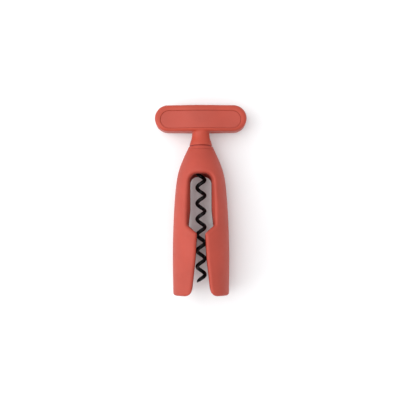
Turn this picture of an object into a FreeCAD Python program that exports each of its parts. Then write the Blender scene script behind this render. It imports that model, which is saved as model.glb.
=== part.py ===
"""Self-pulling table corkscrew: a bottle-shaped body with two legs, and a T-handle with a worm.

Every piece is drawn in the tool's own frame, in millimetres: Z runs up the tool from the leg ends
to the handle, X runs along the handle and -Y is the front. lay_down() then turns the tool on to
its back, so that Y runs up the tool, X along the handle and Z up, away from the table.
The origin is on the tool's axis, at the level of the leg ends.
"""
import FreeCAD, Part
import math
import os

V = FreeCAD.Vector

# Body: outside
NECK_TOP = 127.4             # top of the neck bush's flange, where the glide washer lies
COLLAR_BASE = 124.7          # underside of the bush's flange, a fine ring line round the neck
NECK_RADIUS = 10.4
COLLAR_RADIUS = 11.7
BODY_OUTLINE = [             # (radius, height) of the bottle shape, from the collar to the leg ends
    (COLLAR_RADIUS, COLLAR_BASE),
    (14.6, 118.3),
    (17.6, 111.0),
    (20.2, 101.8),
    (21.7, 91.0),
    (22.9, 76.0),
    (23.75, 58.0),
    (24.2, 36.0),
    (24.0, 16.0),
    (23.7, 0.0),
]
LEG_END_ROUND = 2.2

# Body: inside
SHELL_WALL = 2.8
LINER_WALL = 2.0
CORK_RADIUS = 13.0           # chamber that the drawn cork rises into
SOCKET_RADIUS = 15.6         # socket that slides over the bottle's mouth
LIP_SEAT = 53.0              # height where the bottle's lip stops
CHAMBER_TOP = 105.0
LINER_FIT = 0.03
LINER_BASE = 1.5
LEG_END_WALL = 3.0

# Window and leg gap: corners as (half-width, height, rounding), from the foot upwards
GAP_OUTLINE = [
    (16.0, -1.0, 0.0),
    (16.0, 0.0, 0.0),
    (8.1, 0.0, 6.5),
    (4.65, 31.0, 60.0),
    (3.45, 52.5, 3.0),
]
THROAT_OUTLINE = [
    (10.7, 59.0, 2.0),
    (9.15, 73.0, 20.0),
    (9.15, 102.7, 6.4),
]
MOUTH_OUTLINE = [
    (12.5, 59.0, 2.6),
    (14.2, 75.0, 30.0),
    (12.6, 103.9, 8.4),
]
FOOT_HALF = 3.45
FOOT = 52.2
MOUTH_DEPTH = 23.0
THROAT_DEPTH = 11.5
MOUTH_WIDE = 14.2
LEG_SIDE = 9.0
FRAME_WALL = 2.6             # wall left round the window and the gap, beside the side pockets
POCKET_TOP = 103.0

# Neck bush and glide washer
BUSH_RADIUS = 7.6
BUSH_BORE = 5.3              # clears the worm
SPIGOT_RADIUS = 7.0
SPIGOT_FIT = 0.08
SPIGOT_DEPTH = 4.0
SPIGOT_END_GAP = 0.5
GROOVE_RADIUS = 6.8
WASHER_FIT = 0.06
WASHER_RADIUS = 9.4
WASHER_THICK = 0.9
FACE_GAP = 0.04

# Handle
HANDLE_CENTRE = 151.9
HANDLE_HALF_LENGTH = 39.6
HANDLE_HALF_HEIGHT = 11.4
HUB_HALF_DEPTH = 9.0
END_HALF_DEPTH = 7.4
SWELL_HALF_LENGTH = 30.0
HANDLE_EDGE = 3.0
PANEL_CENTRE = 150.6
PANEL_HALF_LENGTH = 34.6
PANEL_HALF_HEIGHT = 7.6
PANEL_SUNK = 0.2
PANEL_THICK = 1.7
PANEL_FIT = 0.08
LEDGE = 1.6                  # seat left round the hollow for the panel's edge
WEB_HALF = 1.2
HUB_HALF_WIDTH = 9.0
PEG_X = 22.0
PEG_RADIUS = 2.0
PEG_LENGTH = 3.0
PEG_ROOT = 1.0               # how far a peg reaches into its panel
PEG_BOSS_RADIUS = 3.6
STEM_TOP_RADIUS = 7.6
STEM_OUTLINE = [             # (radius, height), from inside the handle to the seam
    (STEM_TOP_RADIUS, HANDLE_CENTRE),
    (STEM_TOP_RADIUS, 137.6),
    (7.85, 135.6),
    (8.4, 133.6),
    (9.1, 131.6),
    (9.95, 128.34),
]
STEM_BASE = NECK_TOP + WASHER_THICK + FACE_GAP

# Worm
WORM_RADIUS = 3.25           # from the axis to the wire's centre
WIRE_RADIUS = 1.6
WORM_PITCH = 13.55
WORM_TIP = 10.8
TIP_TURNS = 0.25             # the pointed tip takes the first quarter turn
TIP_RINGS = [                # (share of the tip's height, wire radius)
    (0.0, 0.12),
    (0.5, 0.9),
    (1.0, WIRE_RADIUS),
]
WORM_TOP_TURNS = 9.25
SHANK_BEND = 4.0
SHANK_TOP = 156.0
ANCHOR_RADIUS = 5.8
ANCHOR_BASE = 141.5
ANCHOR_TOP = 159.0
ANCHOR_FIT = 0.02
END_GAP = 0.1                # left at the ends of the anchor and its pin
PIN_RADIUS = 1.5
PIN_HALF_LENGTH = 8.5
PIN_HEIGHT = 147.0
COIL_ROOM = 5.5

FAR = 100.0                  # longer than any piece is wide
OVER = 1.0                   # how far a cutter runs past what it cuts
TINY = 0.01
AXIS = V(0, 0, 1)
ORIGIN = V(0, 0, 0)


def lay_down(shape):
    """Turn a shape from the tool's frame to the resting frame."""
    turned = shape.copy()
    turned.rotate(ORIGIN, V(1, 0, 0), -90)
    return turned


def cylinder(radius, low, high):
    return Part.makeCylinder(radius, high - low, V(0, 0, low))


def tube(outer, inner, low, high):
    return cylinder(outer, low, high).cut(cylinder(inner, low - OVER, high + OVER))


def smooth_curve(points):
    """A curve through (radius, height) points in the XZ plane."""
    curve = Part.BSplineCurve()
    curve.interpolate([V(radius, 0, height) for radius, height in points])
    return curve.toShape()


def spun(edges):
    """Spin a closed outline in the XZ plane round the tool's axis."""
    wire = Part.Wire(Part.__sortEdges__(edges))
    return Part.Face(wire).revolve(ORIGIN, AXIS, 360)


def spun_under(points, inset):
    """The solid inside a profile curve, moved inwards by inset."""
    curve = smooth_curve([(radius - inset, height) for radius, height in points])
    top = V(points[0][0] - inset, 0, points[0][1])
    base = V(points[-1][0] - inset, 0, points[-1][1])
    top_centre = V(0, 0, top.z)
    base_centre = V(0, 0, base.z)
    edges = [
        curve,
        Part.makeLine(base, base_centre),
        Part.makeLine(base_centre, top_centre),
        Part.makeLine(top_centre, top),
    ]
    return spun(edges)


def through_y(wire, low, high):
    """Extrude an outline in the XZ plane from y = low to y = high."""
    face = Part.Face(wire)
    face.translate(V(0, low, 0))
    return face.extrude(V(0, high - low, 0))


def both_sides(half):
    """Corners up the right side of an outline and down its left side."""
    left = [(-x, z, rounding) for x, z, rounding in reversed(half)]
    return half + left


def rounded_wire(corners, y):
    """A closed outline in the plane at y, with each corner rounded by a tangent arc."""
    points = [V(x, y, z) for x, z, rounding in corners]
    count = len(points)
    starts = []
    ends = []
    arcs = []
    for i in range(count):
        before = (points[i - 1] - points[i]).normalize()
        after = (points[(i + 1) % count] - points[i]).normalize()
        rounding = corners[i][2]
        half_angle = before.getAngle(after) / 2
        reach = rounding / math.tan(half_angle)
        starts.append(points[i] + before * reach)
        ends.append(points[i] + after * reach)
        to_centre = (before + after).normalize()
        nearest = rounding / math.sin(half_angle) - rounding
        arcs.append(points[i] + to_centre * nearest)
    edges = []
    for i in range(count):
        if corners[i][2] > 0:
            edges.append(Part.Arc(starts[i], arcs[i], ends[i]).toShape())
        edges.append(Part.makeLine(ends[i], starts[(i + 1) % count]))
    return Part.Wire(edges)


def window_wire(outline, y):
    foot = [(FOOT_HALF, FOOT, 0.0)]
    return rounded_wire(both_sides(foot + outline), y)


def body_cutters():
    """The through window and leg gap; the window widens from its throat to its mouths."""
    outline = both_sides(GAP_OUTLINE + THROAT_OUTLINE)
    cutter = through_y(rounded_wire(outline, 0), -FAR, FAR)
    for side in (-1, 1):
        throat = window_wire(THROAT_OUTLINE, side * THROAT_DEPTH)
        mouth = window_wire(MOUTH_OUTLINE, side * MOUTH_DEPTH)
        cutter = cutter.fuse(Part.makeLoft([throat, mouth], True, True))
    return cutter


def bottle_shape():
    """The body's outer bottle shape, with its leg ends rounded."""
    solid = spun_under(BODY_OUTLINE, 0)
    rims = [edge for edge in solid.Edges if abs(edge.BoundBox.ZMax) < TINY and edge.Length > FAR]
    return solid.makeFillet(LEG_END_ROUND, rims)


def liner_room(extra):
    """The cork chamber and the bottle socket, grown outwards by extra."""
    chamber = CORK_RADIUS + extra
    socket = SOCKET_RADIUS + extra
    seat_high = LIP_SEAT + SOCKET_RADIUS - CORK_RADIUS
    corners = [
        V(0, 0, -OVER),
        V(socket, 0, -OVER),
        V(socket, 0, LIP_SEAT),
        V(chamber, 0, seat_high),
        V(chamber, 0, CHAMBER_TOP + extra),
        V(0, 0, CHAMBER_TOP + extra),
    ]
    edges = [Part.makeLine(corners[i], corners[i - 1]) for i in range(len(corners))]
    return spun(edges)


def side_pockets():
    """Hollows in the left and right walls, closed from inside by the cork guide."""
    hollow = spun_under(BODY_OUTLINE, SHELL_WALL)
    pockets = []
    for side in (-1, 1):
        high = Part.makeBox(FAR, 2 * FAR, POCKET_TOP - LIP_SEAT, V(0, -FAR, LIP_SEAT))
        high.translate(V(MOUTH_WIDE + FRAME_WALL, 0, 0))
        low = Part.makeBox(FAR, 2 * FAR, LIP_SEAT - LEG_END_WALL, V(0, -FAR, LEG_END_WALL))
        low.translate(V(LEG_SIDE + FRAME_WALL, 0, 0))
        half = high.fuse(low)
        if side < 0:
            half = half.mirror(ORIGIN, V(1, 0, 0))
        pockets.append(half.common(hollow))
    return pockets


def make_body_shell(cutters):
    shell = bottle_shape()
    shell = shell.cut(liner_room(LINER_WALL + LINER_FIT))
    shell = shell.cut(cylinder(BUSH_RADIUS + LINER_FIT, CHAMBER_TOP - OVER, 2 * FAR))
    for pocket in side_pockets():
        shell = shell.cut(pocket)
    return shell.cut(cutters)


def make_cork_guide(cutters):
    """The liner: it guides the cork, stops the bottle's lip and centres the bottle's neck."""
    guide = liner_room(LINER_WALL).cut(liner_room(0))
    guide = guide.cut(cylinder(FAR, -2 * OVER, LINER_BASE))
    guide = guide.cut(cylinder(BUSH_RADIUS + LINER_FIT, CHAMBER_TOP - OVER, 2 * FAR))
    return guide.cut(cutters)


def make_neck_bush():
    """The bush lines the neck; its tapered flange continues the bottle shape up to the seam."""
    sleeve = cylinder(BUSH_RADIUS, CHAMBER_TOP, NECK_TOP)
    flange = Part.makeCone(COLLAR_RADIUS, NECK_RADIUS, NECK_TOP - COLLAR_BASE, V(0, 0, COLLAR_BASE))
    bush = sleeve.fuse(flange)
    bush = bush.cut(cylinder(BUSH_BORE, 0, 2 * FAR))
    counterbore_floor = NECK_TOP - SPIGOT_DEPTH - SPIGOT_END_GAP
    counterbore = cylinder(SPIGOT_RADIUS + SPIGOT_FIT, counterbore_floor, 2 * FAR)
    return bush.cut(counterbore).removeSplitter()


def make_glide_washer():
    return tube(WASHER_RADIUS, GROOVE_RADIUS + WASHER_FIT, NECK_TOP, NECK_TOP + WASHER_THICK)


def stadium(centre, half_length, half_height, low, high):
    """A flat-sided pill in the XZ plane round a height, from y = low to y = high."""
    run = half_length - half_height
    top = centre + half_height
    base = centre - half_height
    edges = [
        Part.makeLine(V(-run, 0, base), V(run, 0, base)),
        Part.Arc(V(run, 0, base), V(half_length, 0, centre), V(run, 0, top)).toShape(),
        Part.makeLine(V(run, 0, top), V(-run, 0, top)),
        Part.Arc(V(-run, 0, top), V(-half_length, 0, centre), V(-run, 0, base)).toShape(),
    ]
    return through_y(Part.Wire(edges), low, high)


def swell(inset):
    """The handle's depth: thick at the hub, falling in an S-curve to flatter ends."""
    hub = HUB_HALF_DEPTH - inset
    end = END_HALF_DEPTH - inset
    middle_x = SWELL_HALF_LENGTH / 2
    middle_y = (hub + end) / 2
    drop = (hub - end) / 2
    bend = (middle_x ** 2 + drop ** 2) / (2 * drop)
    part_x = middle_x / 2
    part_drop = bend - math.sqrt(bend ** 2 - part_x ** 2)
    far = HANDLE_HALF_LENGTH + OVER
    half = [
        V(far, end, 0),
        V(SWELL_HALF_LENGTH, end, 0),
        V(SWELL_HALF_LENGTH - part_x, end + part_drop, 0),
        V(middle_x, middle_y, 0),
    ]
    edges = []
    for side in (-1, 1):
        right = [V(point.x, side * point.y, 0) for point in half]
        left = [V(-point.x, point.y, 0) for point in right]
        edges.append(Part.makeLine(right[0], right[1]))
        edges.append(Part.Arc(right[1], right[2], right[3]).toShape())
        edges.append(Part.Arc(right[3], V(0, side * hub, 0), left[3]).toShape())
        edges.append(Part.Arc(left[3], left[2], left[1]).toShape())
        edges.append(Part.makeLine(left[1], left[0]))
    for x in (-far, far):
        edges.append(Part.makeLine(V(x, -end, 0), V(x, end, 0)))
    face = Part.Face(Part.Wire(Part.__sortEdges__(edges)))
    face.translate(V(0, 0, HANDLE_CENTRE - 2 * HANDLE_HALF_HEIGHT))
    return face.extrude(V(0, 0, 4 * HANDLE_HALF_HEIGHT))


def spigot():
    groove = cylinder(GROOVE_RADIUS, NECK_TOP - FACE_GAP, STEM_BASE + OVER)
    lip = cylinder(SPIGOT_RADIUS, NECK_TOP - SPIGOT_DEPTH, NECK_TOP - FACE_GAP)
    return groove.fuse(lip)


def handle_block():
    block = stadium(HANDLE_CENTRE, HANDLE_HALF_LENGTH, HANDLE_HALF_HEIGHT, -FAR, FAR)
    block = block.common(swell(0))
    rims = [edge for edge in block.Edges if edge.BoundBox.XLength + edge.BoundBox.ZLength > TINY]
    return block.makeFillet(HANDLE_EDGE, rims)


def panel_blank(side, margin, low, high):
    """The grip panel's pill outline, on the front (side -1) or the back (side 1)."""
    half_length = PANEL_HALF_LENGTH + margin
    half_height = PANEL_HALF_HEIGHT + margin
    blank = stadium(PANEL_CENTRE, half_length, half_height, low, high)
    if side < 0:
        blank = blank.mirror(ORIGIN, V(0, 1, 0))
    return blank


def upright_y(radius, x, low, high):
    """A round bar along Y, level with the panels' centres."""
    return Part.makeCylinder(radius, high - low, V(x, low, PANEL_CENTRE), V(0, 1, 0))


def panel_recess(side):
    """The shallow recess for one panel and the hollow behind it."""
    recess = panel_blank(side, PANEL_FIT, 0, FAR).cut(swell(PANEL_SUNK + PANEL_THICK))
    hollow = panel_blank(side, -LEDGE, WEB_HALF, FAR)
    hub = Part.makeBox(2 * HUB_HALF_WIDTH, 2 * FAR, 2 * FAR, V(-HUB_HALF_WIDTH, -FAR, 0))
    hollow = hollow.cut(hub)
    for x in (-PEG_X, PEG_X):
        hollow = hollow.cut(upright_y(PEG_BOSS_RADIUS, x, -FAR, FAR))
    return recess.fuse(hollow)


def peg_holes():
    holes = []
    for x in (-PEG_X, PEG_X):
        holes.append(upright_y(PEG_RADIUS + PANEL_FIT, x, -FAR, FAR))
    return holes


def anchor_room():
    """The stepped bore that holds the worm's coil, its anchor and the cross pin."""
    coil = cylinder(COIL_ROOM, 0, ANCHOR_BASE + OVER)
    plug = cylinder(ANCHOR_RADIUS + ANCHOR_FIT, ANCHOR_BASE, ANCHOR_TOP)
    return coil.fuse(plug)


def cross_pin(radius, half_length):
    start = V(-half_length, 0, PIN_HEIGHT)
    return Part.makeCylinder(radius, 2 * half_length, start, V(1, 0, 0))


def make_handle_core():
    core = handle_block().fuse(spun_under(STEM_OUTLINE, 0)).fuse(spigot())
    for side in (-1, 1):
        core = core.cut(panel_recess(side))
    for hole in peg_holes():
        core = core.cut(hole)
    core = core.cut(anchor_room())
    return core.cut(cross_pin(PIN_RADIUS + ANCHOR_FIT, PIN_HALF_LENGTH))


def make_panel(side):
    """A grip panel: it follows the handle's swell and clips in with two pegs."""
    plate = panel_blank(side, 0, 0, FAR).common(swell(PANEL_SUNK))
    plate = plate.cut(swell(PANEL_SUNK + PANEL_THICK))
    plate_back = END_HALF_DEPTH - PANEL_SUNK - PANEL_THICK
    for x in (-PEG_X, PEG_X):
        peg = upright_y(PEG_RADIUS, x, plate_back - PEG_LENGTH, plate_back + PEG_ROOT)
        if side < 0:
            peg = peg.mirror(ORIGIN, V(0, 1, 0))
        plate = plate.fuse(peg)
    return plate.removeSplitter()


def coil_point(height):
    """The wire's centre on the coil; it passes the right-hand side half a turn above the tip."""
    turn = 2 * math.pi * (height - WORM_TIP) / WORM_PITCH + math.pi
    return V(WORM_RADIUS * math.cos(turn), WORM_RADIUS * math.sin(turn), height)


def coil_direction(height):
    turn = 2 * math.pi * (height - WORM_TIP) / WORM_PITCH + math.pi
    along = V(-WORM_RADIUS * math.sin(turn), WORM_RADIUS * math.cos(turn),
              WORM_PITCH / (2 * math.pi))
    return along.normalize()


def coil_path(low, high):
    helix = Part.makeHelix(WORM_PITCH, high - low, WORM_RADIUS)
    turn = 360 * (low - WORM_TIP) / WORM_PITCH + 180
    helix.rotate(ORIGIN, AXIS, turn)
    helix.translate(V(0, 0, low))
    return Part.Wire(helix.Edges)


def ring(centre, direction, radius):
    return Part.Wire([Part.makeCircle(radius, centre, direction)])


def swept(path, rings):
    pipe = Part.BRepOffsetAPI.MakePipeShell(path)
    pipe.setFrenetMode(True)
    for section in rings:
        pipe.add(section)
    pipe.build()
    pipe.makeSolid()
    return pipe.shape()


def make_worm():
    """The coil, ground to a point below and bent straight up into its anchor above."""
    full = WORM_TIP + TIP_TURNS * WORM_PITCH
    top = WORM_TIP + WORM_TOP_TURNS * WORM_PITCH
    coil = swept(coil_path(full, top), [ring(coil_point(full), coil_direction(full), WIRE_RADIUS)])
    tip_rings = []
    for share, radius in TIP_RINGS:
        height = WORM_TIP + share * (full - WORM_TIP)
        tip_rings.append(ring(coil_point(height), coil_direction(height), radius))
    tip = swept(coil_path(WORM_TIP, full), tip_rings)
    return coil.fuse(tip).fuse(shank(top))


def shank(height):
    """The bend from the coil's slope to upright, and the straight shank above it."""
    start = coil_point(height)
    along = coil_direction(height)
    flat = V(along.x, along.y, 0).normalize()
    slope = math.atan2(along.z, math.hypot(along.x, along.y))
    centre = start + flat * (-SHANK_BEND * math.sin(slope)) + AXIS * (SHANK_BEND * math.cos(slope))
    middle_angle = (slope + math.pi / 2) / 2
    middle = centre + flat * (SHANK_BEND * math.sin(middle_angle))
    middle = middle - AXIS * (SHANK_BEND * math.cos(middle_angle))
    end = centre + flat * SHANK_BEND
    bend = Part.Arc(start, middle, end).toShape()
    rise = Part.makeLine(end, V(end.x, end.y, SHANK_TOP))
    return swept(Part.Wire([bend, rise]), [ring(start, along, WIRE_RADIUS)])


def make_worm_anchor(worm):
    plug = cylinder(ANCHOR_RADIUS, ANCHOR_BASE + END_GAP, ANCHOR_TOP - END_GAP)
    return plug.cut(worm).cut(cross_pin(PIN_RADIUS + ANCHOR_FIT, PIN_HALF_LENGTH))


def make_anchor_pin():
    return cross_pin(PIN_RADIUS, PIN_HALF_LENGTH - END_GAP)


nodes = {}


def main():
    os.makedirs("parts", exist_ok=True)
    cutters = body_cutters()
    nodes["body_shell"] = make_body_shell(cutters)
    nodes["cork_guide"] = make_cork_guide(cutters)
    nodes["neck_bush"] = make_neck_bush()
    nodes["glide_washer"] = make_glide_washer()
    nodes["handle_core"] = make_handle_core()
    nodes["front_panel"] = make_panel(-1)
    nodes["back_panel"] = make_panel(1)
    nodes["worm"] = make_worm()
    nodes["worm_anchor"] = make_worm_anchor(nodes["worm"])
    nodes["anchor_pin"] = make_anchor_pin()
    for name, shape in nodes.items():
        print(name, shape.ShapeType, len(shape.Solids), shape.isValid(), round(shape.Volume, 1))
        lay_down(shape).exportStep("parts/" + name + ".step")


main()
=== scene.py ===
"""Looks for the table corkscrew: it lies on its back on a pale floor and is seen from above.

Lengths in the shape code are millimetres in the row frame: X along the handle, Y up the tool
from the leg ends, Z up from the table. Meshes are scaled to metres when they are made.
"""
import math

import bmesh
import bpy
import numpy as np
from mathutils import Matrix, Vector


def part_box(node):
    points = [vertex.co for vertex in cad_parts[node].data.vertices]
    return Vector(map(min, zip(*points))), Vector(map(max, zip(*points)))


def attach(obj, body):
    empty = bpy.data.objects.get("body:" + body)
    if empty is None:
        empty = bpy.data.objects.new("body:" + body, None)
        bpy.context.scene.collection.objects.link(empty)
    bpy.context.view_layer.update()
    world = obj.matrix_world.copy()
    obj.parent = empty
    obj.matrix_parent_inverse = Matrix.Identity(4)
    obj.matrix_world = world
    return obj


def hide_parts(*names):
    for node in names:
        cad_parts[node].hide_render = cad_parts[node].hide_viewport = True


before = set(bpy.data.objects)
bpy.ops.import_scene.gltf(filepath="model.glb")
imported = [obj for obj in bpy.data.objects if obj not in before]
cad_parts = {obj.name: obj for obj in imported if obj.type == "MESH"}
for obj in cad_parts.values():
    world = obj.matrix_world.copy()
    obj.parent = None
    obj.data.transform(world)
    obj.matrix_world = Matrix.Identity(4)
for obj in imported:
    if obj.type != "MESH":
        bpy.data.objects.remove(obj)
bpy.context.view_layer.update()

MM = 0.001
BODY = "body"
WASHER = "washer"
HANDLE = "handle"


def box_mm(node):
    """A CAD node's lowest and highest corners, in millimetres."""
    low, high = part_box(node)
    return np.array(low) / MM, np.array(high) / MM


SHELL_LOW, SHELL_HIGH = box_mm("body_shell")
BUSH_LOW, BUSH_HIGH = box_mm("neck_bush")
WASHER_LOW, WASHER_HIGH = box_mm("glide_washer")
CORE_LOW, CORE_HIGH = box_mm("handle_core")
PANEL_LOW, PANEL_HIGH = box_mm("front_panel")
GUIDE_LOW, GUIDE_HIGH = box_mm("cork_guide")
WORM_LOW, WORM_HIGH = box_mm("worm")

# Body: profile and openings
COLLAR_BASE = SHELL_HIGH[1]
NECK_RADIUS = 10.4
COLLAR_RADIUS = BUSH_HIGH[0]
BODY_OUTLINE = [
    (COLLAR_RADIUS, COLLAR_BASE),
    (14.6, 118.3),
    (17.6, 111.0),
    (20.2, 101.8),
    (21.7, 91.0),
    (22.9, 76.0),
    (23.75, 58.0),
    (24.2, 36.0),
    (24.0, 16.0),
    (23.7, 0.0),
]
LEG_END_ROUND = 2.2
GAP_TOP_HALF = 3.45          # the gap's half-width where it meets the window
GAP_OUTLINE = [
    (16.0, -4.0, 0.0),
    (16.0, 0.0, 0.0),
    (8.1, 0.0, 6.5),
    (4.65, 31.0, 60.0),
    (GAP_TOP_HALF, 52.5, 3.0),
]
THROAT_OUTLINE = [
    (10.7, 59.0, 2.0),
    (9.15, 73.0, 20.0),
    (9.15, 102.7, 6.4),
]
MOUTH_OUTLINE = [
    (12.5, 59.0, 2.6),
    (14.2, 75.0, 30.0),
    (12.6, 103.9, 8.4),
]
MOUTH_DEPTH = 23.0
THROAT_DEPTH = 11.5
SOFT_EDGE = 3.0              # rounding of the window's and the gap's outer edges
SOFT_GROWTH = 0.75           # the gap's rounding grows from nothing at the leg ends
PAST_LEG_ENDS = -5.0
PAST_AXIS = -9.0             # profiles are closed this far beyond the axis
CORK_RADIUS = 13.0
SOCKET_RADIUS = 15.6
LIP_SEAT = 53.0
CHAMBER_TOP = 105.0
LINER_WALL = 2.0
LINER_FIT = 0.03
LINER_EDGE = 0.3             # rounding of the edges inside the body
GUIDE_EDGE = 0.4
BUSH_RADIUS = 7.6
BUSH_BORE = 5.3
BUSH_BORE_BASE = CHAMBER_TOP - 1
FAR = 200.0                  # past the end of every piece

# Handle
FACE_GAP = 0.04
STEM_BASE = WASHER_HIGH[1] + FACE_GAP
HANDLE_HALF_LENGTH = CORE_HIGH[0]
HANDLE_HALF_HEIGHT = 11.4
HANDLE_CENTRE = CORE_HIGH[1] - HANDLE_HALF_HEIGHT
HUB_HALF_DEPTH = 9.0
END_HALF_DEPTH = 7.4
SWELL_HALF_LENGTH = 30.0
HANDLE_EDGE = 3.0
PANEL_CENTRE = (PANEL_HIGH[1] + PANEL_LOW[1]) / 2
PANEL_HALF_LENGTH = PANEL_HIGH[0]
PANEL_HALF_HEIGHT = (PANEL_HIGH[1] - PANEL_LOW[1]) / 2
PANEL_SUNK = 0.2
PANEL_THICK = 1.7
PANEL_FIT = 0.08
PANEL_FACE_EDGE = 0.1
PANEL_BACK_EDGE = 0.3
RECESS_EDGE = 0.12
STEM_TOP_RADIUS = 7.6
STEM_OUTLINE = [
    (STEM_TOP_RADIUS, HANDLE_CENTRE),
    (STEM_TOP_RADIUS, 137.6),
    (7.85, 135.6),
    (8.4, 133.6),
    (9.1, 131.6),
    (9.95, STEM_BASE),
]
STEM_FOOT_ROUND = 0.5
STEM_FILLET = 1.3            # where the stem meets the handle
COIL_ROOM = 5.5
COIL_ROOM_TOP = 142.0
SPIGOT_RADIUS = 7.0
SPIGOT_DEPTH = 4.0
SPIGOT_FIT = 0.08
SPIGOT_END_GAP = 0.5
GROOVE_RADIUS = 6.8
WASHER_FIT = 0.06

# Worm
WORM_RADIUS = 3.25
WIRE_RADIUS = 1.6
WORM_PITCH = 13.55
WORM_TIP = 10.8
WORM_TURNS = 9.25
GROUND_TURNS = 0.25          # the wire is ground to a point over this share of a turn
SHANK_BEND = 4.0


# ---------------------------------------------------------------- distance fields

def cubic_through(points, per_span=10):
    """Points on the natural cubic spline through the given ones, by chord length."""
    knots = np.array(points, float)
    chord = np.hypot(*np.diff(knots, axis=0).T)
    t = np.concatenate([[0.0], np.cumsum(chord)])
    count = len(t)
    matrix = np.eye(count)
    right = np.zeros((count, 2))
    for i in range(1, count - 1):
        h0 = t[i] - t[i - 1]
        h1 = t[i + 1] - t[i]
        matrix[i, i - 1:i + 2] = (h0, 2 * (h0 + h1), h1)
        right[i] = 6 * ((knots[i + 1] - knots[i]) / h1 - (knots[i] - knots[i - 1]) / h0)
    bend = np.linalg.solve(matrix, right)
    out = [knots[0]]
    for i in range(count - 1):
        h = t[i + 1] - t[i]
        for step in range(1, per_span + 1):
            b = step / per_span
            a = 1 - b
            cubic = ((a ** 3 - a) * bend[i] + (b ** 3 - b) * bend[i + 1]) * h * h / 6
            out.append(a * knots[i] + b * knots[i + 1] + cubic)
    return np.array(out)


def rounded(corners, steps=8):
    """An outline's points, with each (x, y, rounding) corner turned into an arc."""
    points = np.array([corner[:2] for corner in corners], float)
    count = len(points)
    out = []
    for i in range(count):
        rounding = corners[i][2]
        if rounding == 0:
            out.append(points[i])
            continue
        before = points[i - 1] - points[i]
        after = points[(i + 1) % count] - points[i]
        before /= np.linalg.norm(before)
        after /= np.linalg.norm(after)
        half = math.acos(np.clip(before @ after, -1, 1)) / 2
        middle = before + after
        centre = points[i] + middle / np.linalg.norm(middle) * rounding / math.sin(half)
        start = points[i] + before * rounding / math.tan(half) - centre
        end = points[i] + after * rounding / math.tan(half) - centre
        sweep = math.acos(np.clip(start @ end / rounding ** 2, -1, 1))
        for step in range(steps + 1):
            share = step / steps
            arm = start * math.sin((1 - share) * sweep) + end * math.sin(share * sweep)
            out.append(centre + arm / math.sin(sweep))
    return np.array(out)


def both_sides(half):
    return half + [(-x, y, rounding) for x, y, rounding in reversed(half)]


def outline_distance(x, y, outline):
    """Signed distance to a closed outline, negative inside."""
    nearest = np.full(np.broadcast(x, y).shape, np.inf)
    inside = np.zeros(nearest.shape, bool)
    for i in range(len(outline)):
        ax, ay = outline[i - 1]
        bx, by = outline[i]
        ex, ey = bx - ax, by - ay
        length = ex * ex + ey * ey
        if length == 0:
            continue
        px, py = x - ax, y - ay
        share = np.clip((px * ex + py * ey) / length, 0, 1)
        nearest = np.minimum(nearest, (px - share * ex) ** 2 + (py - share * ey) ** 2)
        if ey != 0:
            crosses = (ay > y) != (by > y)
            inside ^= crosses & (px < py * ex / ey)
    return np.where(inside, -1, 1) * np.sqrt(nearest)


def round_both(a, b, radius):
    """Where both solids are, with the edge between them rounded."""
    return np.minimum(-radius, np.maximum(a, b)) + np.hypot(np.maximum(radius + a, 0),
                                                            np.maximum(radius + b, 0))


def round_either(a, b, radius):
    """Either solid, with a fillet where they meet."""
    return np.maximum(radius, np.minimum(a, b)) - np.hypot(np.maximum(radius - a, 0),
                                                           np.maximum(radius - b, 0))


def disc_distance(radial, y, radius, low, high):
    """A round bar round the tool's axis."""
    return np.maximum(radial - radius, np.maximum(low - y, y - high))


WINDOW_FOOT = [(GAP_TOP_HALF, 52.2, 0.0)]
THROUGH = rounded(both_sides(GAP_OUTLINE + THROAT_OUTLINE))
THROAT = rounded(both_sides(WINDOW_FOOT + THROAT_OUTLINE))
MOUTH = rounded(both_sides(WINDOW_FOOT + MOUTH_OUTLINE))


def opening_distance(x, y, z):
    """The through window and gap, the window widening towards its mouths."""
    share = (np.abs(z) - THROAT_DEPTH) / (MOUTH_DEPTH - THROAT_DEPTH)
    share = np.clip(share, 0, 1.2)
    throat = outline_distance(x, y, THROAT)
    mouth = outline_distance(x, y, MOUTH)
    window = throat * (1 - share) + mouth * share
    return np.minimum(outline_distance(x, y, THROUGH), window)


def profile_polygon(points, foot_round):
    """Half of a spun shape: its profile, closed well past the axis."""
    curve = cubic_through(points)
    base = points[-1][1]
    corners = [(PAST_AXIS, points[0][1], 0.0)]
    corners += [(x, y, 0.0) for x, y in curve[:-1]]
    corners += [(points[-1][0], base, foot_round), (PAST_AXIS, base, 0.0)]
    return rounded(corners)


BOTTLE = profile_polygon(BODY_OUTLINE, LEG_END_ROUND)


def liner_polygon(extra, low):
    chamber = CORK_RADIUS + extra
    socket = SOCKET_RADIUS + extra
    top = CHAMBER_TOP + extra
    seat_high = LIP_SEAT + SOCKET_RADIUS - CORK_RADIUS
    return np.array([(PAST_AXIS, low), (socket, low), (socket, LIP_SEAT), (chamber, seat_high),
                     (chamber, top), (PAST_AXIS, top)])


def shell_distance(x, y, z):
    radial = np.hypot(x, z)
    outside = outline_distance(radial, y, BOTTLE)
    soft = np.clip(SOFT_GROWTH * y, 0, SOFT_EDGE)
    solid = round_both(outside, -opening_distance(x, y, z), soft)
    room = outline_distance(radial, y, liner_polygon(LINER_WALL + LINER_FIT, PAST_LEG_ENDS))
    solid = round_both(solid, -room, LINER_EDGE)
    bore = disc_distance(radial, y, BUSH_RADIUS + LINER_FIT, BUSH_BORE_BASE, FAR)
    return np.maximum(solid, -bore)


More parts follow.
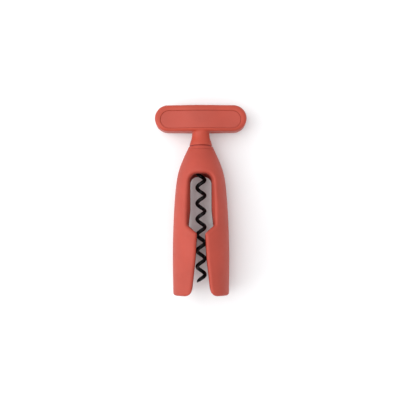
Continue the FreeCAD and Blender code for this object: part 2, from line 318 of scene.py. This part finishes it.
def guide_distance(x, y, z):
    radial = np.hypot(x, z)
    foot = GUIDE_LOW[1]
    outside = outline_distance(radial, y, liner_polygon(LINER_WALL, foot))
    inside = outline_distance(radial, y, liner_polygon(0.0, PAST_LEG_ENDS))
    wall = round_both(outside, -inside, LINER_EDGE)
    wall = round_both(wall, -opening_distance(x, y, z), GUIDE_EDGE)
    bore = disc_distance(radial, y, BUSH_RADIUS + LINER_FIT, BUSH_BORE_BASE, FAR)
    return np.maximum(wall, -bore)


def swell_depth(x):
    """The handle's half-depth along its length, and its slope: two equal arcs each side."""
    half = SWELL_HALF_LENGTH / 2
    drop = (HUB_HALF_DEPTH - END_HALF_DEPTH) / 2
    bend = (half ** 2 + drop ** 2) / (2 * drop)
    away = np.minimum(np.abs(x), SWELL_HALF_LENGTH)
    near_hub = HUB_HALF_DEPTH - bend + np.sqrt(bend ** 2 - np.minimum(away, half) ** 2)
    out = SWELL_HALF_LENGTH - away
    near_end = END_HALF_DEPTH + bend - np.sqrt(bend ** 2 - np.minimum(out, half) ** 2)
    depth = np.where(away < half, near_hub, near_end)
    run = np.where(away < half, away, out)
    slope = run / np.sqrt(bend ** 2 - run ** 2)
    return depth, slope


def face_distance(x, z):
    """Distance out of the handle's swelling front and back faces."""
    depth, slope = swell_depth(x)
    return (np.abs(z) - depth) / np.sqrt(1 + slope ** 2)


def pill_distance(x, y, centre, half_length, half_height):
    run = half_length - half_height
    return np.hypot(np.maximum(np.abs(x) - run, 0), y - centre) - half_height


STEM = profile_polygon(STEM_OUTLINE, STEM_FOOT_ROUND)


def core_distance(x, y, z):
    radial = np.hypot(x, z)
    pill = pill_distance(x, y, HANDLE_CENTRE, HANDLE_HALF_LENGTH, HANDLE_HALF_HEIGHT)
    face = face_distance(x, z)
    solid = round_both(pill, face, HANDLE_EDGE)
    solid = round_either(solid, outline_distance(radial, y, STEM), STEM_FILLET)
    panel = pill_distance(x, y, PANEL_CENTRE, PANEL_HALF_LENGTH + PANEL_FIT,
                          PANEL_HALF_HEIGHT + PANEL_FIT)
    recess = np.maximum(panel, -(face + PANEL_SUNK + PANEL_THICK))
    solid = round_both(solid, -recess, RECESS_EDGE)
    lip_base = BUSH_HIGH[1] - SPIGOT_DEPTH
    lip_top = WASHER_LOW[1] - FACE_GAP
    groove = disc_distance(radial, y, GROOVE_RADIUS, lip_top, STEM_BASE + 1)
    lip = disc_distance(radial, y, SPIGOT_RADIUS, lip_base, lip_top)
    solid = np.minimum(solid, np.minimum(groove, lip))
    return np.maximum(solid, -disc_distance(radial, y, COIL_ROOM, 0, COIL_ROOM_TOP))


def panel_distance(side):
    def distance(x, y, z):
        pill = pill_distance(x, y, PANEL_CENTRE, PANEL_HALF_LENGTH, PANEL_HALF_HEIGHT)
        face = face_distance(x, z)
        plate = round_both(pill, face + PANEL_SUNK, PANEL_FACE_EDGE)
        plate = round_both(plate, -(face + PANEL_SUNK + PANEL_THICK), PANEL_BACK_EDGE)
        return np.maximum(plate, -side * z)
    return distance


# ---------------------------------------------------------------- meshes

def new_object(name, points, faces, body):
    mesh = bpy.data.meshes.new(name)
    mesh.from_pydata((np.asarray(points) * MM).tolist(), [], [list(face) for face in faces])
    build = bmesh.new()
    build.from_mesh(mesh)
    bmesh.ops.recalc_face_normals(build, faces=build.faces)
    build.to_mesh(mesh)
    build.free()
    mesh.shade_smooth()
    piece = bpy.data.objects.new(name, mesh)
    bpy.context.scene.collection.objects.link(piece)
    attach(piece, body)
    return piece


def field_grid(distance, low, high, step):
    axes = [np.arange(low[i] - 2 * step, high[i] + 2.5 * step, step) for i in range(3)]
    x, y, z = np.meshgrid(*axes, indexing="ij", sparse=True)
    return axes, distance(x, y, z)


def crossing_mesh(axes, field, step):
    """A quad mesh with one point in each grid cell that the surface passes through."""
    inside = field < 0
    shape = np.array(field.shape) - 1
    total = np.zeros(shape)
    point = np.zeros((3,) + tuple(shape))
    origin = np.array([axis[0] for axis in axes])
    corner = [slice(None, -1), slice(1, None)]
    for axis in range(3):
        others = [i for i in range(3) if i != axis]
        for first in (0, 1):
            for second in (0, 1):
                start = [None] * 3
                end = [None] * 3
                start[axis], end[axis] = corner[0], corner[1]
                start[others[0]] = end[others[0]] = corner[first]
                start[others[1]] = end[others[1]] = corner[second]
                a, b = field[tuple(start)], field[tuple(end)]
                crossed = (a < 0) != (b < 0)
                share = np.where(crossed, a / np.where(crossed, a - b, 1), 0)
                total += crossed
                point[axis] += np.where(crossed, share, 0)
                point[others[0]] += crossed * first
                point[others[1]] += crossed * second
    active = total > 0
    ids = np.full(active.shape, -1)
    ids[active] = np.arange(active.sum())
    cell = np.argwhere(active)
    points = origin + (cell + (point[:, active] / total[active]).T) * step
    faces = []
    for axis in range(3):
        u, v = [(1, 2), (2, 0), (0, 1)][axis]
        start = [slice(1, -1)] * 3
        end = [slice(1, -1)] * 3
        start[axis] = slice(0, -1)
        end[axis] = slice(1, None)
        a, b = inside[tuple(start)], inside[tuple(end)]
        for flip, mask in ((False, a & ~b), (True, b & ~a)):
            where = np.argwhere(mask)
            where[:, [u, v]] += 1
            quad = []
            for du, dv in ((1, 1), (0, 1), (0, 0), (1, 0)):
                index = where.copy()
                index[:, u] -= du
                index[:, v] -= dv
                quad.append(ids[tuple(index.T)])
            quad = np.stack(quad, axis=1)
            faces.append(quad[:, ::-1] if flip else quad)
    return points, np.concatenate(faces)


def settle(points, distance, tiny=0.02, rounds=2):
    """Slide the points along the field's slope on to the surface itself."""
    for _ in range(rounds):
        x, y, z = points.T
        value = distance(x, y, z)
        slope = np.stack([
            distance(x + tiny, y, z) - distance(x - tiny, y, z),
            distance(x, y + tiny, z) - distance(x, y - tiny, z),
            distance(x, y, z + tiny) - distance(x, y, z - tiny),
        ], axis=1) / (2 * tiny)
        length = np.maximum((slope ** 2).sum(axis=1), 0.25)
        points = points - slope * np.clip(value / length, -0.4, 0.4)[:, None]
    return points


def field_piece(name, distance, low, high, step, body):
    axes, field = field_grid(distance, low, high, step)
    points, faces = crossing_mesh(axes, field, step)
    points = settle(points, distance)
    points = np.clip(points, low, high)
    return new_object(name, points, faces, body)


def lathe(name, outline, body, around=160):
    """Spin a closed (radius, y) outline round the tool's axis."""
    count = len(outline)
    angles = np.arange(around) * 2 * math.pi / around
    radius, height = np.array(outline).T
    x = np.outer(np.cos(angles), radius)
    z = np.outer(np.sin(angles), radius)
    y = np.broadcast_to(height, x.shape)
    points = np.stack([x, y, z], axis=2).reshape(-1, 3)
    faces = []
    for i in range(around):
        for j in range(count):
            a = i * count + j
            b = i * count + (j + 1) % count
            c = (i + 1) % around * count + (j + 1) % count
            d = (i + 1) % around * count + j
            faces.append((a, b, c, d))
    return new_object(name, points, faces, body)


# ---------------------------------------------------------------- the pieces

def make_shell():
    piece = field_piece("body_shell_soft", shell_distance, SHELL_LOW, SHELL_HIGH, 0.6, BODY)
    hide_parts("body_shell")
    return piece


def make_guide():
    piece = field_piece("cork_guide_soft", guide_distance, GUIDE_LOW, GUIDE_HIGH, 0.5, BODY)
    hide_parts("cork_guide")
    return piece


def make_core():
    piece = field_piece("handle_core_soft", core_distance, CORE_LOW, CORE_HIGH, 0.5, HANDLE)
    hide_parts("handle_core")
    return piece


def make_panel(node, side):
    low, high = box_mm(node)
    piece = field_piece(node + "_soft", panel_distance(side), low, high, 0.4, HANDLE)
    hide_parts(node)
    return piece


def make_bush():
    base, collar, top = BUSH_LOW[1], COLLAR_BASE, BUSH_HIGH[1]
    counter = SPIGOT_RADIUS + SPIGOT_FIT
    step = top - SPIGOT_DEPTH - SPIGOT_END_GAP
    outline = rounded([
        (BUSH_BORE, base, 0.2),
        (BUSH_RADIUS, base, 0.2),
        (BUSH_RADIUS, collar, 0.0),
        (COLLAR_RADIUS, collar, 0.25),
        (NECK_RADIUS, top, 0.4),
        (counter, top, 0.2),
        (counter, step, 0.0),
        (BUSH_BORE, step, 0.2),
    ], 4)
    piece = lathe("neck_bush_turned", outline, BODY)
    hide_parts("neck_bush")
    return piece


def make_washer():
    base, top = WASHER_LOW[1], WASHER_HIGH[1]
    bore = GROOVE_RADIUS + WASHER_FIT
    outline = rounded([
        (bore, base, 0.15),
        (WASHER_HIGH[0], base, 0.2),
        (WASHER_HIGH[0], top, 0.2),
        (bore, top, 0.15),
    ], 4)
    piece = lathe("glide_washer_turned", outline, WASHER)
    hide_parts("glide_washer")
    return piece


def worm_route():
    """The wire's centre line and its radius: ground to a point, coiled, then bent upright."""
    per_turn = 72
    steps = int(WORM_TURNS * per_turn)
    turn = np.arange(steps + 1) / per_turn
    angle = math.pi + 2 * math.pi * turn
    coil = np.stack([WORM_RADIUS * np.cos(angle), WORM_TIP + WORM_PITCH * turn,
                     -WORM_RADIUS * np.sin(angle)], axis=1)
    ground = np.clip(turn / GROUND_TURNS, 0, 1)
    radius = WIRE_RADIUS * (0.06 + 0.94 * np.sin(ground * math.pi / 2) ** 0.9)
    along = coil[-1] - coil[-2]
    flat = along * (1, 0, 1)
    flat /= np.linalg.norm(flat)
    up = np.array([0.0, 1.0, 0.0])
    slope = math.atan2(along[1], math.hypot(along[0], along[2]))
    centre = coil[-1] - flat * SHANK_BEND * math.sin(slope) + up * SHANK_BEND * math.cos(slope)
    bends = np.linspace(slope, math.pi / 2, 12)[1:]
    bend = [centre + flat * SHANK_BEND * math.sin(a) - up * SHANK_BEND * math.cos(a) for a in bends]
    shank = [bend[-1] * (1, 0, 1) + up * y for y in (145.0, 152.0, WORM_HIGH[1])]
    route = np.concatenate([coil, bend, shank])
    radius = np.concatenate([radius, np.full(len(route) - len(radius), WIRE_RADIUS)])
    return route, radius


def make_worm(around=28):
    route, radius = worm_route()
    tangent = np.gradient(route, axis=0)
    tangent /= np.linalg.norm(tangent, axis=1)[:, None]
    side = np.cross(tangent[0], (0, 1, 0))
    rings = []
    for point, direction, size in zip(route, tangent, radius):
        side = side - direction * (side @ direction)
        side /= np.linalg.norm(side)
        other = np.cross(direction, side)
        angles = np.arange(around) * 2 * math.pi / around
        rings.append(point + size * (np.outer(np.cos(angles), side)
                                     + np.outer(np.sin(angles), other)))
    points = np.concatenate(rings)
    faces = []
    for i in range(len(rings) - 1):
        for j in range(around):
            k = (j + 1) % around
            faces.append([i * around + j, i * around + k, (i + 1) * around + k,
                          (i + 1) * around + j])
    faces.append(list(range(around)))
    faces.append(list(range((len(rings) - 1) * around, len(rings) * around)))
    piece = new_object("worm_wire", np.clip(points, WORM_LOW, WORM_HIGH), faces, HANDLE)
    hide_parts("worm")
    return piece


shell = make_shell()
guide = make_guide()
bush = make_bush()
washer = make_washer()
core = make_core()
front = make_panel("front_panel", 1)
back = make_panel("back_panel", -1)
worm = make_worm()


# ---------------------------------------------------------------- materials

def linear(red, green, blue):
    """An 8-bit display colour as the linear colour that the shader takes."""
    out = []
    for value in (red, green, blue):
        share = value / 255
        out.append(share / 12.92 if share <= 0.04045 else ((share + 0.055) / 1.055) ** 2.4)
    return (*out, 1.0)


class Nodes:
    """A material's node tree, with short calls for the nodes used here."""

    def __init__(self, name):
        self.material = bpy.data.materials.new(name)
        self.material.use_nodes = True
        self.tree = self.material.node_tree
        self.tree.nodes.clear()
        output = self.tree.nodes.new("ShaderNodeOutputMaterial")
        self.shader = self.tree.nodes.new("ShaderNodeBsdfPrincipled")
        self.join(self.shader.outputs[0], output.inputs["Surface"])
        self.place = self.tree.nodes.new("ShaderNodeTexCoord").outputs["Object"]

    def join(self, source, target):
        self.tree.links.new(source, target)

    def noise(self, scale, detail=3.0, stretch=None):
        node = self.tree.nodes.new("ShaderNodeTexNoise")
        node.inputs["Scale"].default_value = scale
        node.inputs["Detail"].default_value = detail
        place = self.place
        if stretch:
            mapping = self.tree.nodes.new("ShaderNodeMapping")
            mapping.inputs["Scale"].default_value = stretch
            self.join(place, mapping.inputs["Vector"])
            place = mapping.outputs["Vector"]
        self.join(place, node.inputs["Vector"])
        return node.outputs["Fac"]

    def span(self, value, from_low, from_high, to_low, to_high):
        node = self.tree.nodes.new("ShaderNodeMapRange")
        node.inputs["From Min"].default_value = from_low
        node.inputs["From Max"].default_value = from_high
        node.inputs["To Min"].default_value = to_low
        node.inputs["To Max"].default_value = to_high
        self.join(value, node.inputs["Value"])
        return node.outputs["Result"]

    def math(self, operation, first, second):
        node = self.tree.nodes.new("ShaderNodeMath")
        node.operation = operation
        for socket, value in zip(node.inputs, (first, second)):
            if isinstance(value, (int, float)):
                socket.default_value = value
            else:
                self.join(value, socket)
        return node.outputs[0]

    def blend(self, share, first, second):
        node = self.tree.nodes.new("ShaderNodeMix")
        node.data_type = "RGBA"
        self.join(share, node.inputs["Factor"])
        for socket, value in ((node.inputs["A"], first), (node.inputs["B"], second)):
            if isinstance(value, tuple):
                socket.default_value = value
            else:
                self.join(value, socket)
        return node.outputs["Result"]

    def edges(self, low, high):
        """0 on flat stretches, rising to 1 on outward edges."""
        geometry = self.tree.nodes.new("ShaderNodeNewGeometry")
        return self.span(geometry.outputs["Pointiness"], low, high, 0.0, 1.0)

    def bump(self, height, distance, strength=1.0):
        node = self.tree.nodes.new("ShaderNodeBump")
        node.inputs["Distance"].default_value = distance
        node.inputs["Strength"].default_value = strength
        self.join(height, node.inputs["Height"])
        self.join(node.outputs["Normal"], self.shader.inputs["Normal"])


def moulded_plastic(name, colour, worn, rough, grain, grain_height):
    """Spark-textured plastic: fine grain, faint mottling, and edges rubbed paler and smoother."""
    nodes = Nodes(name)
    mottle = nodes.span(nodes.noise(45.0, 4.0), 0.35, 0.65, 0.0, 1.0)
    deep = tuple(channel * 0.94 for channel in colour[:3]) + (1.0,)
    pale = tuple(min(channel * 1.05, 1.0) for channel in colour[:3]) + (1.0,)
    base = nodes.blend(mottle, deep, pale)
    rub = nodes.math("MULTIPLY", nodes.edges(0.51, 0.60),
                     nodes.span(nodes.noise(160.0, 5.0), 0.4, 0.7, 0.0, 0.4))
    nodes.join(nodes.blend(rub, base, worn), nodes.shader.inputs["Base Color"])
    cloud = nodes.span(nodes.noise(220.0, 3.0), 0.3, 0.7, rough - 0.04, rough + 0.05)
    smooth = nodes.math("SUBTRACT", cloud, nodes.math("MULTIPLY", rub, 0.14))
    nodes.join(smooth, nodes.shader.inputs["Roughness"])
    nodes.shader.inputs["Specular IOR Level"].default_value = 0.3
    nodes.bump(nodes.noise(grain, 2.0), grain_height)
    return nodes.material


def coated_wire():
    """Black low-friction coating: near black, faintly speckled, and paler grey on rubbed edges,
    which is worn coating and also a painted sheen.
    """
    nodes = Nodes("worm_coating")
    speck = nodes.span(nodes.noise(1400.0, 3.0), 0.45, 0.75, 0.0, 1.0)
    base = nodes.blend(speck, linear(6, 4, 5), linear(17, 14, 15))
    # Paler grey where the edges rub: worn coating, and a painted sheen in place of real gloss.
    rub = nodes.math("MULTIPLY", nodes.edges(0.56, 0.72), 0.4)
    nodes.join(nodes.blend(rub, base, linear(62, 60, 60)), nodes.shader.inputs["Base Color"])
    nodes.join(nodes.span(nodes.noise(500.0, 3.0), 0.3, 0.7, 0.34, 0.5),
               nodes.shader.inputs["Roughness"])
    nodes.shader.inputs["Specular IOR Level"].default_value = 0.25
    nodes.bump(nodes.noise(2600.0, 2.0), 0.00001)
    return nodes.material


def bare_metal(name, colour, rough):
    """Turned or ground metal, with fine lines round it."""
    nodes = Nodes(name)
    lines = nodes.noise(900.0, 4.0, (1.0, 14.0, 1.0))
    deep = tuple(channel * 0.8 for channel in colour[:3]) + (1.0,)
    nodes.join(nodes.blend(lines, deep, colour), nodes.shader.inputs["Base Color"])
    nodes.join(nodes.span(lines, 0.3, 0.7, rough - 0.06, rough + 0.08),
               nodes.shader.inputs["Roughness"])
    nodes.shader.inputs["Metallic"].default_value = 1.0
    nodes.bump(lines, 0.00001)
    return nodes.material


def paper_floor():
    nodes = Nodes("pale_floor")
    fleck = nodes.span(nodes.noise(30.0, 4.0), 0.3, 0.7, 0.0, 1.0)
    nodes.join(nodes.blend(fleck, (0.905, 0.915, 0.925, 1.0), (0.92, 0.93, 0.94, 1.0)),
               nodes.shader.inputs["Base Color"])
    nodes.shader.inputs["Roughness"].default_value = 0.9
    nodes.shader.inputs["Specular IOR Level"].default_value = 0.1
    return nodes.material


def dress(piece, material):
    piece.data.materials.clear()
    piece.data.materials.append(material)


CORAL = linear(173, 69, 55)
CORAL_WORN = linear(182, 84, 70)
body_plastic = moulded_plastic("body_plastic", CORAL, CORAL_WORN, 0.56, 1500.0, 0.00003)
# The cork guide takes a darker copy of the coral: painted shade for its walls seen deep inside the
# window.
guide_shade_plastic = moulded_plastic("guide_shade_plastic", linear(146, 54, 46), CORAL_WORN, 0.5, 1500.0,
                                0.00002)
rim_plastic = moulded_plastic("rim_plastic", linear(176, 68, 51), CORAL_WORN, 0.46, 1700.0,
                              0.00002)
panel_plastic = moulded_plastic("panel_plastic", linear(172, 70, 56), CORAL_WORN, 0.46, 2400.0,
                                0.00003)
# The washer's dark red-brown is painted shade: it stands for the shadowed seam line between the
# stem and the neck.
washer_shade_plastic = moulded_plastic("washer_shade_plastic", linear(140, 42, 34), linear(160, 60, 48), 0.4,
                                 2000.0, 0.00001)
for piece, material in (
    (shell, body_plastic),
    (guide, guide_shade_plastic),
    (bush, body_plastic),
    (washer, washer_shade_plastic),
    (core, rim_plastic),
    (front, panel_plastic),
    (back, panel_plastic),
    (worm, coated_wire()),
):
    dress(piece, material)

metals = {
    "worm_anchor": bare_metal("anchor_brass", linear(205, 172, 105), 0.32),
    "anchor_pin": bare_metal("pin_steel", linear(190, 190, 192), 0.28),
}
for node, material in metals.items():
    for slot in bpy.data.objects[node].material_slots:
        slot.material = material


# ---------------------------------------------------------------- floor, light and camera

CENTRE = Vector((-0.0008, 0.0815, 0.0))   # what the camera and the lights face, in metres
TOUCH_LOW = 51.0             # heights where the floor touches the tool's back
TOUCH_HIGH = 105.0


def floor_plane():
    """The floor touches the tool's back just below the window and just above it."""
    radius, height = cubic_through(BODY_OUTLINE)[::-1].T
    low_z = -math.sqrt(np.interp(TOUCH_LOW, height, radius) ** 2 - GAP_TOP_HALF ** 2)
    high_z = -np.interp(TOUCH_HIGH, height, radius)
    tilt = math.atan2(high_z - low_z, TOUCH_HIGH - TOUCH_LOW)
    return Vector((0.0, TOUCH_LOW, low_z)) * MM, tilt


FLOOR_POINT, FLOOR_TILT = floor_plane()
FLOOR_TURN = Matrix.Rotation(FLOOR_TILT, 4, "X")
UP = FLOOR_TURN @ Vector((0.0, 0.0, 1.0))
ALONG = FLOOR_TURN @ Vector((0.0, 1.0, 0.0))
ACROSS = Vector((1.0, 0.0, 0.0))


def make_floor(half=3.0):
    mesh = bpy.data.meshes.new("floor")
    corners = [FLOOR_POINT + ACROSS * half * i + ALONG * half * j
               for i, j in ((-1, -1), (1, -1), (1, 1), (-1, 1))]
    mesh.from_pydata([tuple(corner) for corner in corners], [], [(0, 1, 2, 3)])
    floor = bpy.data.objects.new("floor", mesh)
    bpy.context.scene.collection.objects.link(floor)
    dress(floor, paper_floor())


def make_light(name, across, along, up, size, power):
    """A soft square light, placed from the tool's middle and turned to face it."""
    data = bpy.data.lights.new(name, "AREA")
    data.size = size
    data.energy = power
    light = bpy.data.objects.new(name, data)
    bpy.context.scene.collection.objects.link(light)
    light.location = CENTRE + ACROSS * across + ALONG * along + UP * up
    light.rotation_euler = (CENTRE - light.location).to_track_quat("-Z", "Y").to_euler()


def make_world(strength):
    world = bpy.data.worlds.new("studio")
    world.use_nodes = True
    background = world.node_tree.nodes["Background"]
    background.inputs["Color"].default_value = (1.0, 1.0, 1.0, 1.0)
    background.inputs["Strength"].default_value = strength
    bpy.context.scene.world = world


def make_camera(distance=0.62, frame_width=0.3448, roll=0.0023):
    data = bpy.data.cameras.new("camera")
    data.sensor_width = 36.0
    data.lens = data.sensor_width * distance / frame_width
    camera = bpy.data.objects.new("camera", data)
    bpy.context.scene.collection.objects.link(camera)
    right = ACROSS * math.cos(roll) - ALONG * math.sin(roll)
    place = Matrix((right, UP.cross(right), UP)).transposed().to_4x4()
    place.translation = CENTRE + UP * distance
    camera.matrix_world = place
    bpy.context.scene.camera = camera


make_floor()
make_light("key", -0.7, 0.1, 0.98, 1.4, 9.2)
make_light("card", -0.9, 0.0, 0.25, 1.0, 2.6)
make_light("top", -0.1, 0.05, 1.39, 0.5, 2.2)
make_world(0.8)
make_camera()
bpy.context.scene.view_settings.view_transform = "Standard"
